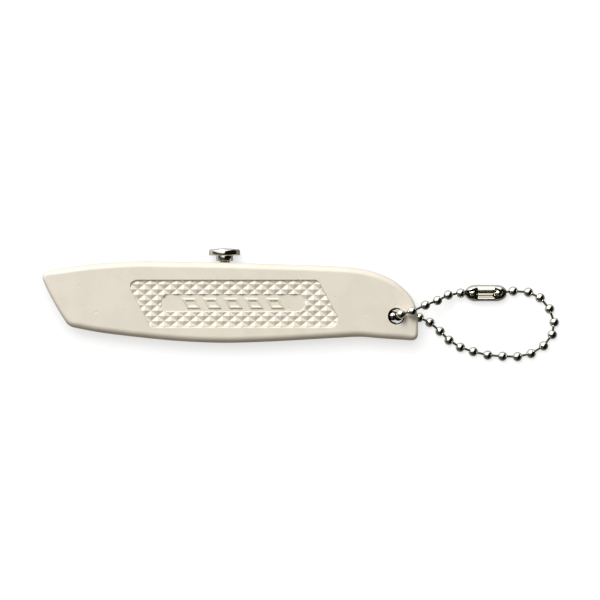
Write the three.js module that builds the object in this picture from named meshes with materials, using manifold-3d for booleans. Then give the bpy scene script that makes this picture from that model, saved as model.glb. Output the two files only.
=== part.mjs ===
// Key-ring utility knife: two die-cast shells, a sliding blade, a press-and-slide button and a bead chain.
// Millimetres. The knife lies on its back: +X to the tail, +Y to the button, +Z to the front face.
import * as THREE from "three";
import { mergeVertices } from "three/addons/utils/BufferGeometryUtils.js";
import Module from "manifold-3d";

const wasm = await Module();
wasm.setup();

// Body
const THICKNESS = 8.4;
const PARTING = THICKNESS / 2;
const SEAM = 0.025; // half of the gap between the two shells
const EDGE_ROUND = 0.9;
const HALF_LENGTH = 47.87;
const LOWEST = -12.04;

// Grip pocket, the same on both faces: rows of low pyramids around a smooth panel
const POCKET_DEPTH = 0.62;
const POCKET_TOP = 3.97;
const POCKET_BOTTOM = -8.18;
const PANEL = { left: -17.5, right: 19.1, top: 0.24, bottom: -4.07, chamfer: 1.2 };
const KNURL = { pitch: 3.311, rowPitch: 1.348, peakX: 1.366, peakY: -6.52, height: 0.5, belowFace: 0.07 };

// Room inside the shells
const CHANNEL_TOP = 6.2;
const CHANNEL_BOTTOM = -5.9;
const CHANNEL_REAR = 14;
const CHANNEL_FLOOR = 1.9;
const CHANNEL_CEILING = 5.0;
const TRENCH = { front: -23.6, rear: 9.8, bottom: -3.8, ceiling: 6.5 };
const REAR_HOLLOW = { front: 16, rear: 29, bottom: -8.6, top: 5.6 }; // keeps the casting's walls even

// Motion
const BLADE_TRAVEL = 18;

// Button, on an axis along Y
const BUTTON_X = -1.44;
const HEAD_RADIUS = 3.95;
const HEAD_TOP = 12.04;
const HEAD_BOTTOM = 10.28;
const COLLAR_RADIUS = 2.15;
const COLLAR_BOTTOM = 8.87;
const NECK_RADIUS = 1.3;
const NECK_BOTTOM = 5.9;
const STEM_RADIUS = 0.9;
const STEM_BOTTOM = 2.2;
const RING_RADIUS = 1.3;
const RING = { bottom: 2.65, top: 3.25, grooveRadius: 0.6 };

// Slot in the top edge that the button runs in: a wide step for the collar over a narrow one for the neck
const RUNNING_GAP = 0.35;
const STEP_FLOOR = 7.65;

// Blade and its carrier
const BLADE = { tip: -39.8, shoulder: -34.4, rear: -8.3, edge: -5.2, spine: 4.4, z: 3.95, thick: 0.5 };
const NOTCHES = [-19, -12];
const NOTCH_Y = 2.7;
const PEG_RADIUS = 0.8;
const CARRIER = { front: -21, rear: 9, bottom: -4.8, top: 4.3, floor: 2.2, plateTop: 3.7 };
const HOUSING = { front: -4.6, rear: 2.3, bottom: -3.4, top: 4.3, ceiling: 6.2 };
const SPRING_SEAT = { front: 5.6, rear: 9, bottom: 1.8, top: 4.95 };
const LEAF = { front: -3.4, rear: 8.8, bottom: 5.1, top: 5.5, low: 2.25, high: 6.15 };
const TOOTH = { x: 3.8, halfWidth: 0.9, top: 6.85 };
const RIVET_X = 7.2;

// Fasteners and locating pegs
const SCREW = { x: 33.5, y: -2.5, headRadius: 2.6, shankRadius: 1.4, headHeight: 1.5, length: 6.6 };
const LOCATING_PEGS = [
  [-30, -7.9],
  [39.5, 0.6],
];

// Chain
const HOLE = { x: 42.33, y: -5.25, radius: 2.1, flare: 0.25 };
const BEAD_RADIUS = 1.2;
const LINK_RADIUS = 0.33;
const LINK_GAP = 0.3;
const RELIEF = { height: 2.75, halfAtHole: 1.9, halfAtEdge: 2.8, edgeX: 49 };
const CONNECTOR = { x: 65.3, y: 0.66, z: 2.03, halfLength: 5.2, radius: 2.0 };
// Bead centres, from the one inside the hole, over the front face, down to the table and round to the back.
const BEADS_OUT = [
  [41.5, -5.14, 7.2],
  [43.5, -4.74, 9.35],
  [46.4, -3.97, 9.65],
  [49.8, -2.44, 8.6],
  [52.9, -1.24, 6.6],
  [55.7, 0.14, 4.3],
  [58.9, 0.65, 2.4],
  [62.05, 0.66, 2.03],
];
const BEADS_BACK = [
  [68.55, 0.66, 2.03],
  [72.3, 1.16, 1.5],
  [76.2, 0.88, 1.22],
  [79.2, -0.55, 1.22],
  [81.6, -3.36, 1.22],
  [82.8, -6.8, 1.22],
  [82.3, -9.94, 1.22],
  [80.1, -12.85, 1.22],
  [76.9, -14.8, 1.22],
  [73.4, -15.6, 1.22],
  [69.6, -15.5, 1.22],
  [65.8, -15.2, 1.22],
  [62.1, -14.3, 1.22],
  [58.8, -13.2, 1.22],
  [55.9, -11.4, 1.22],
  [53.6, -9.1, 1.22],
  [51.0, -6.85, 1.22],
  [48.3, -5.6, 1.22],
  [45.2, -5.4, 1.25],
  [42.95, -5.25, 3.9],
];

const ABOVE = 1; // how far a cutting tool runs past the surface that it opens

const paint = { color: 0xe2d9ca, roughness: 0.45, metalness: 0.1 };
const nickel = { color: 0xc9c8c4, roughness: 0.2, metalness: 1 };
const bladeSteel = { color: 0x9fa2a6, roughness: 0.3, metalness: 1 };
const springSteel = { color: 0x73777d, roughness: 0.35, metalness: 1 };
const bareZinc = { color: 0x8d8f92, roughness: 0.5, metalness: 0.9 };

const v2 = (x, y) => new THREE.Vector2(x, y);
const points2 = (pairs) => pairs.map(([x, y]) => v2(x, y));

// A closed geometry as a solid that can be joined and cut.
function solid(geometry) {
  const bare = geometry.clone();
  bare.deleteAttribute("normal");
  bare.deleteAttribute("uv");
  const merged = mergeVertices(bare, 1e-4);
  return new wasm.Manifold(
    new wasm.Mesh({
      numProp: 3,
      vertProperties: merged.attributes.position.array,
      triVerts: new Uint32Array(merged.index.array),
    }),
  );
}

function geometryOf(manifold) {
  const mesh = manifold.getMesh();
  const geometry = new THREE.BufferGeometry();
  geometry.setAttribute("position", new THREE.BufferAttribute(mesh.vertProperties, 3));
  geometry.setIndex(new THREE.BufferAttribute(mesh.triVerts, 1));
  return geometry;
}

function named(name, manifold, finish) {
  const geometry = geometryOf(manifold).toNonIndexed();
  geometry.computeVertexNormals();
  const mesh = new THREE.Mesh(geometry, new THREE.MeshStandardMaterial(finish));
  mesh.name = name;
  return mesh;
}

function block(x0, x1, y0, y1, z0, z1) {
  const geometry = new THREE.BoxGeometry(x1 - x0, y1 - y0, z1 - z0);
  geometry.translate((x0 + x1) / 2, (y0 + y1) / 2, (z0 + z1) / 2);
  return solid(geometry);
}

// A flat outline given thickness from z0 to z1.
function slab(outline, z0, z1) {
  const geometry = new THREE.ExtrudeGeometry(outline, { depth: z1 - z0, bevelEnabled: false });
  geometry.translate(0, 0, z0);
  return solid(geometry);
}

// A solid of revolution whose profile lists [radius, height]; the heights run along Z through (x, y).
function turnedAlongZ(profile, x, y, sides = 24) {
  const geometry = new THREE.LatheGeometry(points2(profile), sides);
  geometry.rotateX(Math.PI / 2);
  geometry.translate(x, y, 0);
  return solid(geometry);
}

// The same with the heights along Y through (x, z).
function turnedAlongY(profile, x, z, sides = 24) {
  const geometry = new THREE.LatheGeometry(points2(profile), sides);
  geometry.translate(x, 0, z);
  return solid(geometry);
}

function pillar(x, y, z0, z1, radius, sides = 20) {
  const profile = [
    [0, z0],
    [radius, z0],
    [radius, z1],
    [0, z1],
  ];
  return turnedAlongZ(profile, x, y, sides);
}

function corner(start, control, end, steps) {
  return new THREE.QuadraticBezierCurve(v2(...start), v2(...control), v2(...end)).getPoints(steps);
}

function stretch(pairs, steps) {
  return new THREE.SplineCurve(points2(pairs)).getPoints(steps);
}

// Joins stretches of outline, leaving out the points where one starts as the last one ends.
function joined(...stretches) {
  const all = stretches.flat();
  return all.filter((p, i) => p.distanceTo(all[(i + all.length - 1) % all.length]) > 0.01);
}

// Side view of the knife: slanted nose, cambered belly with a waist before the tail, rounded tail.
function bodyOutline() {
  const nose = corner([-47.35, 3.2], [-45.15, -1.75], [-41.95, -6.6], 4);
  const noseHeel = corner([-41.95, -6.6], [-41.2, -7.95], [-39.4, -8.2], 4);
  const belly = stretch(
    [
      [-39.4, -8.2],
      [-33.1, -9.4],
      [-22.9, -10.65],
      [-12.7, -11.6],
      [-1.5, LOWEST],
      [10.3, -11.7],
      [20.5, -11.15],
      [27.5, -10.75],
      [33, -10.5],
      [38.4, -10.9],
      [46, -11.4],
    ],
    34,
  );
  const tailHeel = corner([46, -11.4], [HALF_LENGTH, -11.5], [HALF_LENGTH, -9.8], 4);
  const back = stretch(
    [
      [HALF_LENGTH, -5.6],
      [47.3, -2.9],
      [46.3, -0.6],
      [44.3, 1.7],
      [41.2, 4.1],
      [36.5, 6.1],
      [30.7, 7.2],
      [20.5, 7.75],
      [10.3, 8.05],
      [0, 8.4],
      [-12, 8.6],
      [-22.9, 8.75],
      [-30, 8.45],
      [-36, 7.95],
      [-42, 7.15],
      [-45.9, 6.5],
    ],
    46,
  );
  const noseTip = corner([-45.9, 6.5], [-47.9, 6.1], [-HALF_LENGTH, 4.7], 4);
  const tipToNose = corner([-HALF_LENGTH, 4.7], [-47.75, 4], [-47.35, 3.2], 2);
  return new THREE.Shape(joined(nose, noseHeel, belly, tailHeel, back, noseTip, tipToNose));
}

function wholeBody() {
  const geometry = new THREE.ExtrudeGeometry(bodyOutline(), {
    depth: THICKNESS - 2 * EDGE_ROUND,
    bevelThickness: EDGE_ROUND,
    bevelSize: EDGE_ROUND,
    bevelOffset: -EDGE_ROUND,
    bevelSegments: 3,
  });
  geometry.translate(0, 0, EDGE_ROUND);
  return solid(geometry);
}

// Recess for the thumb and fingers, a parallelogram with rounded corners that leans with the nose.
function gripPocket(z0, z1) {
  const topLeft = corner([-25.25, 1.2], [-26.1, POCKET_TOP], [-23.2, POCKET_TOP], 5);
  const topRight = corner([21.6, POCKET_TOP], [22.35, POCKET_TOP], [22.85, 3.1], 3);
  const bottomRight = corner([27.5, -5.4], [27.5, POCKET_BOTTOM], [25.2, POCKET_BOTTOM], 5);
  const bottomLeft = corner([-19.5, POCKET_BOTTOM], [-20.2, POCKET_BOTTOM], [-20.55, -7.5], 3);
  return slab(new THREE.Shape([...topLeft, ...topRight, ...bottomRight, ...bottomLeft]), z0, z1);
}

// Smooth panel in the middle of the pocket, which the pyramids stop at, with its corners cut off.
function gripPanel(z0, z1) {
  const { left, right, top, bottom, chamfer } = PANEL;
  const shape = new THREE.Shape(
    points2([
      [left, bottom + chamfer],
      [left + chamfer, bottom],
      [right - chamfer, bottom],
      [right, bottom + chamfer],
      [right, top - chamfer],
      [right - chamfer, top],
      [left + chamfer, top],
      [left, top - chamfer],
    ]),
  );
  return slab(shape, z0, z1);
}

// Four-sided pyramid with its peak on the face, its corners along X and Y, and its base sunk below the valleys.
function pyramid(x, y, faceZ, outward) {
  const sunk = 1.5;
  const cone = new THREE.ConeGeometry(1, KNURL.height * sunk, 4);
  cone.rotateX((outward * Math.PI) / 2);
  cone.scale((KNURL.pitch / 2) * sunk, KNURL.rowPitch * sunk, 1);
  cone.translate(x, y, faceZ - outward * (KNURL.belowFace + (KNURL.height * sunk) / 2));
  return solid(cone);
}

// Pyramids that stand edge to edge in staggered rows.
function knurl(faceZ, outward) {
  const pyramids = [];
  for (let row = -1; row <= 8; row++) {
    const y = KNURL.peakY + row * KNURL.rowPitch;
    const shift = row % 2 === 0 ? 0 : KNURL.pitch / 2;
    for (let column = -9; column <= 8; column++) {
      pyramids.push(pyramid(KNURL.peakX + shift + column * KNURL.pitch, y, faceZ, outward));
    }
  }
  return pyramids.reduce((all, next) => all.add(next));
}

// What is cut out of a face to leave the pocket with its pyramids and its panel.
function pocketCut(faceZ, outward) {
  const floor = faceZ - outward * POCKET_DEPTH;
  const above = faceZ + outward * ABOVE;
  const z0 = Math.min(floor, above);
  const z1 = Math.max(floor, above);
  const kept = knurl(faceZ, outward).subtract(gripPanel(z0 - ABOVE, z1 + ABOVE));
  return gripPocket(z0, z1).subtract(kept);
}

// The blade and its carrier slide in this room, whose front end follows the slanted nose.
function channel(z0, z1) {
  const shape = new THREE.Shape(
    points2([
      [CHANNEL_REAR, CHANNEL_BOTTOM],
      [CHANNEL_REAR, CHANNEL_TOP],
      [-38, CHANNEL_TOP],
      [-44, 4.9],
      [-40.2, CHANNEL_BOTTOM],
    ]),
  );
  return slab(shape, z0, z1);
}

function rearHollow() {
  const { front, rear, bottom, top } = REAR_HOLLOW;
  return block(front, rear, bottom, top, CHANNEL_FLOOR, TRENCH.ceiling);
}

function bladeSlit() {
  const side = 0.2;
  return block(
    -HALF_LENGTH - ABOVE,
    -39,
    BLADE.edge - 0.4,
    BLADE.spine + 0.4,
    BLADE.z - side,
    BLADE.z + BLADE.thick + side,
  );
}

// Room that the button's neck and collar sweep through in the top edge.
function buttonSlot() {
  const slotFor = (radius, y0, y1) =>
    block(
      BUTTON_X - BLADE_TRAVEL - radius - RUNNING_GAP,
      BUTTON_X + radius + RUNNING_GAP,
      y0,
      y1,
      PARTING - radius - RUNNING_GAP,
      PARTING + radius + RUNNING_GAP,
    );
  const neckSlot = slotFor(NECK_RADIUS, CHANNEL_TOP - ABOVE, STEP_FLOOR + 0.1);
  const collarStep = slotFor(COLLAR_RADIUS, STEP_FLOOR, HEAD_BOTTOM);
  return neckSlot.add(collarStep);
}

// Notches in the roof of the channel that the lock tooth drops into: blade in, half out and out.
function lockNotches() {
  const reach = TOOTH.halfWidth + RUNNING_GAP;
  const stops = [0, BLADE_TRAVEL / 2, BLADE_TRAVEL];
  return stops
    .map((stop) =>
      block(
        TOOTH.x - stop - reach,
        TOOTH.x - stop + reach,
        CHANNEL_TOP - 0.5,
        TOOTH.top + 0.3,
        LEAF.low - 0.2,
        LEAF.high + 0.2,
      ),
    )
    .reduce((all, notch) => all.add(notch));
}

function chainHole() {
  const { x, y, radius, flare } = HOLE;
  const profile = [
    [0, -ABOVE],
    [radius + flare + ABOVE, -ABOVE],
    [radius + flare, 0],
    [radius, flare],
    [radius, THICKNESS - flare],
    [radius + flare, THICKNESS],
    [radius + flare + ABOVE, THICKNESS + ABOVE],
    [0, THICKNESS + ABOVE],
  ];
  return turnedAlongZ(profile, x, y, 32);
}

// Fan-shaped groove across the back of the tail, so that the chain passes under a knife that lies flat.
function chainRelief() {
  const { height, halfAtHole, halfAtEdge, edgeX } = RELIEF;
  const shape = new THREE.Shape(
    points2([
      [HOLE.x, HOLE.y - halfAtHole],
      [edgeX, HOLE.y - 0.25 - halfAtEdge],
      [edgeX, HOLE.y - 0.25 + halfAtEdge],
      [HOLE.x, HOLE.y + halfAtHole],
    ]),
  );
  return slab(shape, -ABOVE, height);
}

function frontShell() {
  const half = block(-60, 60, -20, 20, PARTING + SEAM, THICKNESS + ABOVE);
  let shell = wholeBody().intersect(half);
  shell = shell.subtract(pocketCut(THICKNESS, 1));
  shell = shell.subtract(channel(PARTING - ABOVE, CHANNEL_CEILING));
  shell = shell.subtract(
    block(TRENCH.front, TRENCH.rear, TRENCH.bottom, CHANNEL_TOP, PARTING - ABOVE, TRENCH.ceiling),
  );
  shell = shell.subtract(bladeSlit()).subtract(buttonSlot()).subtract(lockNotches());
  shell = shell.subtract(rearHollow()).subtract(chainHole());
  shell = shell.subtract(pillar(SCREW.x, SCREW.y, PARTING - ABOVE, SCREW.length + 0.3, SCREW.shankRadius + 0.1));
  LOCATING_PEGS.forEach(([x, y]) => {
    shell = shell.add(pillar(x, y, PARTING - 1.6, PARTING + 0.5, 1, 12));
  });
  return shell;
}

function backShell() {
  const half = block(-60, 60, -20, 20, -ABOVE, PARTING - SEAM);
  const { x, y, headRadius, shankRadius, headHeight } = SCREW;
  let shell = wholeBody().intersect(half);
  shell = shell.subtract(pocketCut(0, -1));
  shell = shell.subtract(channel(CHANNEL_FLOOR, PARTING + ABOVE));
  shell = shell.subtract(bladeSlit()).subtract(buttonSlot()).subtract(lockNotches());
  shell = shell.subtract(rearHollow()).subtract(chainHole()).subtract(chainRelief());
  shell = shell.subtract(pillar(x, y, -ABOVE, headHeight + 0.5, headRadius + 0.2));
  shell = shell.subtract(pillar(x, y, 0, PARTING + ABOVE, shankRadius + 0.2));
  LOCATING_PEGS.forEach(([px, py]) => {
    shell = shell.subtract(pillar(px, py, PARTING - 1.9, PARTING + ABOVE, 1.25, 12));
  });
  return shell;
}

// Pan-head screw from the back, with a cross recess in its head.
function bodyScrew() {
  const { x, y, headRadius, shankRadius, headHeight, length } = SCREW;
  const sink = 0.3;
  const profile = [
    [0, sink],
    [headRadius - 0.5, sink],
    [headRadius, sink + 0.5],
    [headRadius, headHeight + sink],
    [shankRadius, headHeight + sink],
    [shankRadius, length - 0.4],
    [shankRadius - 0.4, length],
    [0, length],
  ];
  const screw = turnedAlongZ(profile, x, y);
  const arm = 1.3;
  const slit = 0.3;
  const recess = block(x - arm, x + arm, y - slit, y + slit, 0, 1.1).add(
    block(x - slit, x + slit, y - arm, y + arm, 0, 1.1),
  );
  return screw.subtract(recess);
}

// Trapezoid blade with its long, ground edge downwards and two notches in its spine.
function blade() {
  const { tip, shoulder, rear, edge, spine, z, thick } = BLADE;
  const bevel = 1.6;
  const flat = new THREE.Shape(
    points2([
      [tip + 0.75, edge + bevel],
      [rear + 2.2, edge + bevel],
      [rear, spine],
      [shoulder, spine],
    ]),
  );
  const ground = new THREE.Shape(
    points2([
      [edge, z + thick / 2 - 0.06],
      [edge, z + thick / 2 + 0.06],
      [edge + bevel, z + thick],
      [edge + bevel, z],
    ]),
  );
  const strip = new THREE.ExtrudeGeometry(ground, { depth: rear + 3 - tip, bevelEnabled: false });
  // The section was drawn in (Y, Z) and thickened along the third axis, which becomes X.
  strip.applyMatrix4(new THREE.Matrix4().set(0, 0, 1, tip, 1, 0, 0, 0, 0, 1, 0, 0, 0, 0, 0, 1));
  const trim = new THREE.Shape(
    points2([
      [tip, edge - 0.1],
      [rear + 3, edge - 0.1],
      [rear + 2.2, edge + bevel],
      [tip + 0.75, edge + bevel],
    ]),
  );
  let made = slab(flat, z, z + thick).add(solid(strip).intersect(slab(trim, z - 1, z + 2)));
  NOTCHES.forEach((x) => {
    made = made.subtract(block(x - 1.15, x + 1.15, NOTCH_Y - 1.15, spine + ABOVE, z - 1, z + 2));
  });
  return made;
}

// Carrier: a plate behind the blade, a housing for the button's stem and spring, and a seat for the leaf.
function bladeCarrier() {
  const { front, rear, bottom, top, floor, plateTop } = CARRIER;
  let carrier = block(front, rear, bottom, top, floor, plateTop);
  carrier = carrier.add(
    block(HOUSING.front, HOUSING.rear, HOUSING.bottom, HOUSING.top, floor, HOUSING.ceiling),
  );
  carrier = carrier.add(
    block(SPRING_SEAT.front, SPRING_SEAT.rear, SPRING_SEAT.bottom, SPRING_SEAT.top, floor, HOUSING.ceiling),
  );
  NOTCHES.forEach((x) => {
    carrier = carrier.add(pillar(x, NOTCH_Y, floor + 0.2, CHANNEL_CEILING - 0.15, PEG_RADIUS, 16));
  });
  const stemHalf = STEM_RADIUS + 0.3;
  const pocketHalf = RING_RADIUS + 0.3;
  const stemSlot = block(
    BUTTON_X - stemHalf,
    BUTTON_X + stemHalf,
    RING.top,
    HOUSING.top + ABOVE,
    PARTING - stemHalf,
    HOUSING.ceiling + ABOVE,
  );
  const springPocket = block(
    BUTTON_X - pocketHalf,
    BUTTON_X + pocketHalf,
    HOUSING.bottom + 0.5,
    RING.top + 0.3,
    PARTING - pocketHalf,
    HOUSING.ceiling + ABOVE,
  );
  const rivetHole = turnedAlongY(
    [
      [0, SPRING_SEAT.bottom + 0.5],
      [0.7, SPRING_SEAT.bottom + 0.5],
      [0.7, SPRING_SEAT.top + ABOVE],
      [0, SPRING_SEAT.top + ABOVE],
    ],
    RIVET_X,
    PARTING,
    16,
  );
  return carrier.subtract(stemSlot).subtract(springPocket).subtract(rivetHole);
}

// Leaf spring over the housing, with a hole for the stem and a tooth that locks in the channel's roof.
function lockSpring() {
  const { front, rear, bottom, top, low, high } = LEAF;
  const shape = new THREE.Shape(
    points2([
      [front, bottom],
      [rear, bottom],
      [rear, top],
      [TOOTH.x + TOOTH.halfWidth, top],
      [TOOTH.x + 0.3, TOOTH.top],
      [TOOTH.x - 0.3, TOOTH.top],
      [TOOTH.x - TOOTH.halfWidth, top],
      [front, top],
    ]),
  );
  const hole = (x, radius) =>
    turnedAlongY(
      [
        [0, bottom - ABOVE],
        [radius, bottom - ABOVE],
        [radius, top + ABOVE],
        [0, top + ABOVE],
      ],
      x,
      PARTING,
      16,
    );
  return slab(shape, low, high)
    .subtract(hole(BUTTON_X, STEM_RADIUS + 0.25))
    .subtract(hole(RIVET_X, 0.7));
}

function springRivet() {
  return turnedAlongY(
    [
      [0, SPRING_SEAT.bottom + 0.7],
      [0.6, SPRING_SEAT.bottom + 0.7],
      [0.6, LEAF.top + 0.05],
      [1.2, LEAF.top + 0.05],
      [1.1, LEAF.top + 0.35],
      [0.7, LEAF.top + 0.5],
      [0, LEAF.top + 0.5],
    ],
    RIVET_X,
    PARTING,
    16,
  );
}

// Mushroom button: domed head, collar, neck, and a stem with a groove for its retaining ring.
function button() {
  const rim = 0.55;
  return turnedAlongY(
    [
      [0, STEM_BOTTOM],
      [STEM_RADIUS - 0.2, STEM_BOTTOM],
      [STEM_RADIUS, STEM_BOTTOM + 0.2],
      [STEM_RADIUS, RING.bottom - 0.05],
      [RING.grooveRadius, RING.bottom - 0.05],
      [RING.grooveRadius, RING.top + 0.05],
      [STEM_RADIUS, RING.top + 0.05],
      [STEM_RADIUS, NECK_BOTTOM],
      [NECK_RADIUS, NECK_BOTTOM],
      [NECK_RADIUS, COLLAR_BOTTOM],
      [COLLAR_RADIUS - 0.2, COLLAR_BOTTOM],
      [COLLAR_RADIUS, COLLAR_BOTTOM + 0.2],
      [COLLAR_RADIUS, HEAD_BOTTOM],
      [HEAD_RADIUS - 0.25, HEAD_BOTTOM],
      [HEAD_RADIUS, HEAD_BOTTOM + 0.25],
      [HEAD_RADIUS, HEAD_TOP - rim - 0.2],
      [HEAD_RADIUS - 0.16, HEAD_TOP - 0.32],
      [HEAD_RADIUS - rim, HEAD_TOP - 0.12],
      [HEAD_RADIUS - 2, HEAD_TOP],
      [0, HEAD_TOP],
    ],
    BUTTON_X,
    PARTING,
    28,
  );
}

// Open ring that snaps into the groove of the stem.
function retainingRing() {
  const bore = RING.grooveRadius + 0.08;
  const ring = turnedAlongY(
    [
      [bore, RING.bottom],
      [RING_RADIUS, RING.bottom],
      [RING_RADIUS, RING.top],
      [bore, RING.top],
      [bore, RING.bottom],
    ],
    BUTTON_X,
    PARTING,
    20,
  );
  const mouth = block(BUTTON_X - 0.45, BUTTON_X + 0.45, RING.bottom - 1, RING.top + 1, PARTING, PARTING + 2);
  return ring.subtract(mouth);
}

class Helix extends THREE.Curve {
  constructor(radius, bottom, top, turns) {
    super();
    Object.assign(this, { radius, bottom, top, turns });
  }

  getPoint(t) {
    const angle = 2 * Math.PI * this.turns * t;
    const y = this.bottom + (this.top - this.bottom) * t;
    return new THREE.Vector3(this.radius * Math.cos(angle), y, this.radius * Math.sin(angle));
  }
}

function disc(radius, sides) {
  const steps = Array.from({ length: sides }, (_, i) => (2 * Math.PI * i) / sides);
  return new THREE.Shape(steps.map((a) => v2(radius * Math.cos(a), radius * Math.sin(a))));
}

// Compression spring under the retaining ring.
function buttonSpring() {
  const wire = 0.18;
  const turns = 5;
  const bottom = HOUSING.bottom + 0.5 + wire + 0.05;
  const top = STEM_BOTTOM - wire - 0.1;
  const geometry = new THREE.ExtrudeGeometry(disc(wire, 6), {
    steps: 10 * turns,
    extrudePath: new Helix(0.95, bottom, top, turns),
  });
  geometry.translate(BUTTON_X, 0, PARTING);
  return solid(geometry);
}

// A bead with the link pin that runs on to the next bead and stops short of its surface.
function beadWithLink(centre, next) {
  const at = new THREE.Vector3(...centre);
  const ball = new THREE.SphereGeometry(BEAD_RADIUS, 10, 7);
  ball.translate(...centre);
  if (!next) return solid(ball);
  const run = new THREE.Vector3(...next).sub(at);
  const length = run.length() - BEAD_RADIUS - LINK_GAP;
  const pin = new THREE.CylinderGeometry(LINK_RADIUS, LINK_RADIUS, length, 6);
  pin.translate(0, length / 2, 0);
  pin.applyQuaternion(new THREE.Quaternion().setFromUnitVectors(new THREE.Vector3(0, 1, 0), run.normalize()));
  pin.translate(...centre);
  return solid(ball).add(solid(pin));
}

// Rolled sleeve with necked ends, open in the middle, that snaps over the chain's two end beads.
function chainConnector() {
  const { x, y, z, halfLength, radius } = CONNECTOR;
  const bore = radius - 0.45;
  const mouth = 0.75;
  const half = [
    [radius, 0],
    [radius, halfLength - 1.9],
    [radius - 0.35, halfLength - 0.8],
    [mouth + 0.35, halfLength],
    [mouth, halfLength],
    [bore, halfLength - 1.5],
    [bore, 0],
  ];
  const otherHalf = half
    .slice(1, -1)
    .map(([r, h]) => [r, -h])
    .reverse();
  const profile = [...half, ...otherHalf, half[0]];
  const sleeve = new THREE.LatheGeometry(points2(profile), 18);
  sleeve.rotateZ(-Math.PI / 2);
  sleeve.translate(x, y, z);
  const window = block(x - 2.3, x + 2.3, y - 1.1, y + 1.1, z, z + radius + ABOVE);
  return solid(sleeve).subtract(window);
}

function chain() {
  const group = new THREE.Group();
  const add = (beads, first) =>
    beads.forEach((centre, i) => {
      const name = "chain_bead_" + String(first + i).padStart(2, "0");
      group.add(named(name, beadWithLink(centre, beads[i + 1]), nickel));
    });
  add(BEADS_OUT, 1);
  add(BEADS_BACK, BEADS_OUT.length + 1);
  group.add(named("chain_connector", chainConnector(), nickel));
  return group;
}

const knife = new THREE.Group();
knife.add(
  named("front_shell", frontShell(), paint),
  named("back_shell", backShell(), paint),
  named("body_screw", bodyScrew(), nickel),
  named("blade", blade(), bladeSteel),
  named("blade_carrier", bladeCarrier(), bareZinc),
  named("lock_spring", lockSpring(), springSteel),
  named("spring_rivet", springRivet(), springSteel),
  named("button", button(), nickel),
  named("retaining_ring", retainingRing(), springSteel),
  named("button_spring", buttonSpring(), springSteel),
  chain(),
);

export default knife;
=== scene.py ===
"""Key-ring utility knife with a bead chain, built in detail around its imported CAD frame."""

import math

import bmesh
import bpy
import numpy as np
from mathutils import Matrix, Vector
from mathutils.geometry import delaunay_2d_cdt


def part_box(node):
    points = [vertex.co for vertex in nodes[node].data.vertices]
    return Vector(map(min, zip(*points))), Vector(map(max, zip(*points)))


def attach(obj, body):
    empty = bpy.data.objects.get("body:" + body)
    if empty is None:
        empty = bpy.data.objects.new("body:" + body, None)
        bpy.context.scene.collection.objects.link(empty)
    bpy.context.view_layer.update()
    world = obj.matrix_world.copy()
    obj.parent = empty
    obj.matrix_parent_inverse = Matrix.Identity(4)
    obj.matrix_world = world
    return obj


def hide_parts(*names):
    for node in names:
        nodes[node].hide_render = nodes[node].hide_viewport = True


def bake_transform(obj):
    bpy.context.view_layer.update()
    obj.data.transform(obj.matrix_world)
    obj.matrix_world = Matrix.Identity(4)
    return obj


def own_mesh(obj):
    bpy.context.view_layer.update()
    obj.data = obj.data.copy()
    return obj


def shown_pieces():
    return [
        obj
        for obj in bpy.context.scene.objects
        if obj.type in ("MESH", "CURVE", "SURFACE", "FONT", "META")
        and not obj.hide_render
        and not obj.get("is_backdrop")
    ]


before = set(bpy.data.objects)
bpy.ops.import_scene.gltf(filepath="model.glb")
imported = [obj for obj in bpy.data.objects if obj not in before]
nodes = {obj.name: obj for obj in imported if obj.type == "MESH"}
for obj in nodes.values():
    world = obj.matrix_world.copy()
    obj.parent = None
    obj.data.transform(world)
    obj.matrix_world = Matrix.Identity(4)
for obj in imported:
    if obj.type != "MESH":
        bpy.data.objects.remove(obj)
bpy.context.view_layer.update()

MM = 0.001

# Body, in millimetres
THICKNESS = 8.4
PARTING = THICKNESS / 2
SEAM = 0.025
SEAM_CHAMFER = 0.14
HALF_LENGTH = 47.87
EDGE_RADIUS = {"top": 1.65, "bottom": 1.7, "nose": 0.6, "tail": 0.75}
ARC_STEPS = 8
OUTLINE_STEP = 0.7

# Grip pocket
POCKET_TOP = 3.97
POCKET_BOTTOM = -8.18
POCKET_DEPTH = 0.62
PATCH = {"left": -24.1, "right": 25.9, "bottom": -8.7, "top": 4.5, "lean": 0.545, "cell": 0.11}
WALL_SLOPE = 2.6
KNURL = {"pitch": 3.311, "row": 1.348, "x": 1.366, "y": -6.52, "height": 0.5, "below": 0.07}
PANEL = {"left": -17.5, "right": 19.1, "top": 0.24, "bottom": -4.07, "chamfer": 1.2}
MOTIF = {"x": 0.8, "pitch": 5.35, "half_width": 1.65, "half_height": 1.3, "stroke": 0.62, "rise": 0.3}

# Rooms inside the body
PAST = 1  # how far a cutting tool runs past the surface that it opens
CHANNEL_TOP = 6.2
CHANNEL_BOTTOM = -5.9
CHANNEL_FLOOR = 1.9
CHANNEL_CEILING = 5.0
TRENCH = {"front": -23.6, "rear": 9.8, "bottom": -3.8, "ceiling": 6.5}
REAR_HOLLOW = {"front": 16, "rear": 29, "bottom": -8.6, "top": 5.6}
BLADE_SLIT = {"front": -50, "rear": -39, "bottom": -5.6, "top": 4.8, "low": 3.75, "high": 4.65}

# Button, on an axis along Y, and the stepped slot that it runs in
BLADE_TRAVEL = 18
RUNNING_GAP = 0.35
BUTTON_X = -1.44
NECK_RADIUS = 1.3
NECK_BOTTOM = 5.9
COLLAR_RADIUS = 2.15
COLLAR_BOTTOM = 8.87
HEAD_RADIUS = 3.95
HEAD_BOTTOM = 10.28
HEAD_TOP = 12.04
HEAD_ROUNDING = {"top": 0.6, "bottom": 0.22}
DOME_RADIUS = 26.0
COLLAR_SLOT_FLOOR = 7.65
NECK_SLOT_TOP = 7.75

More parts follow.
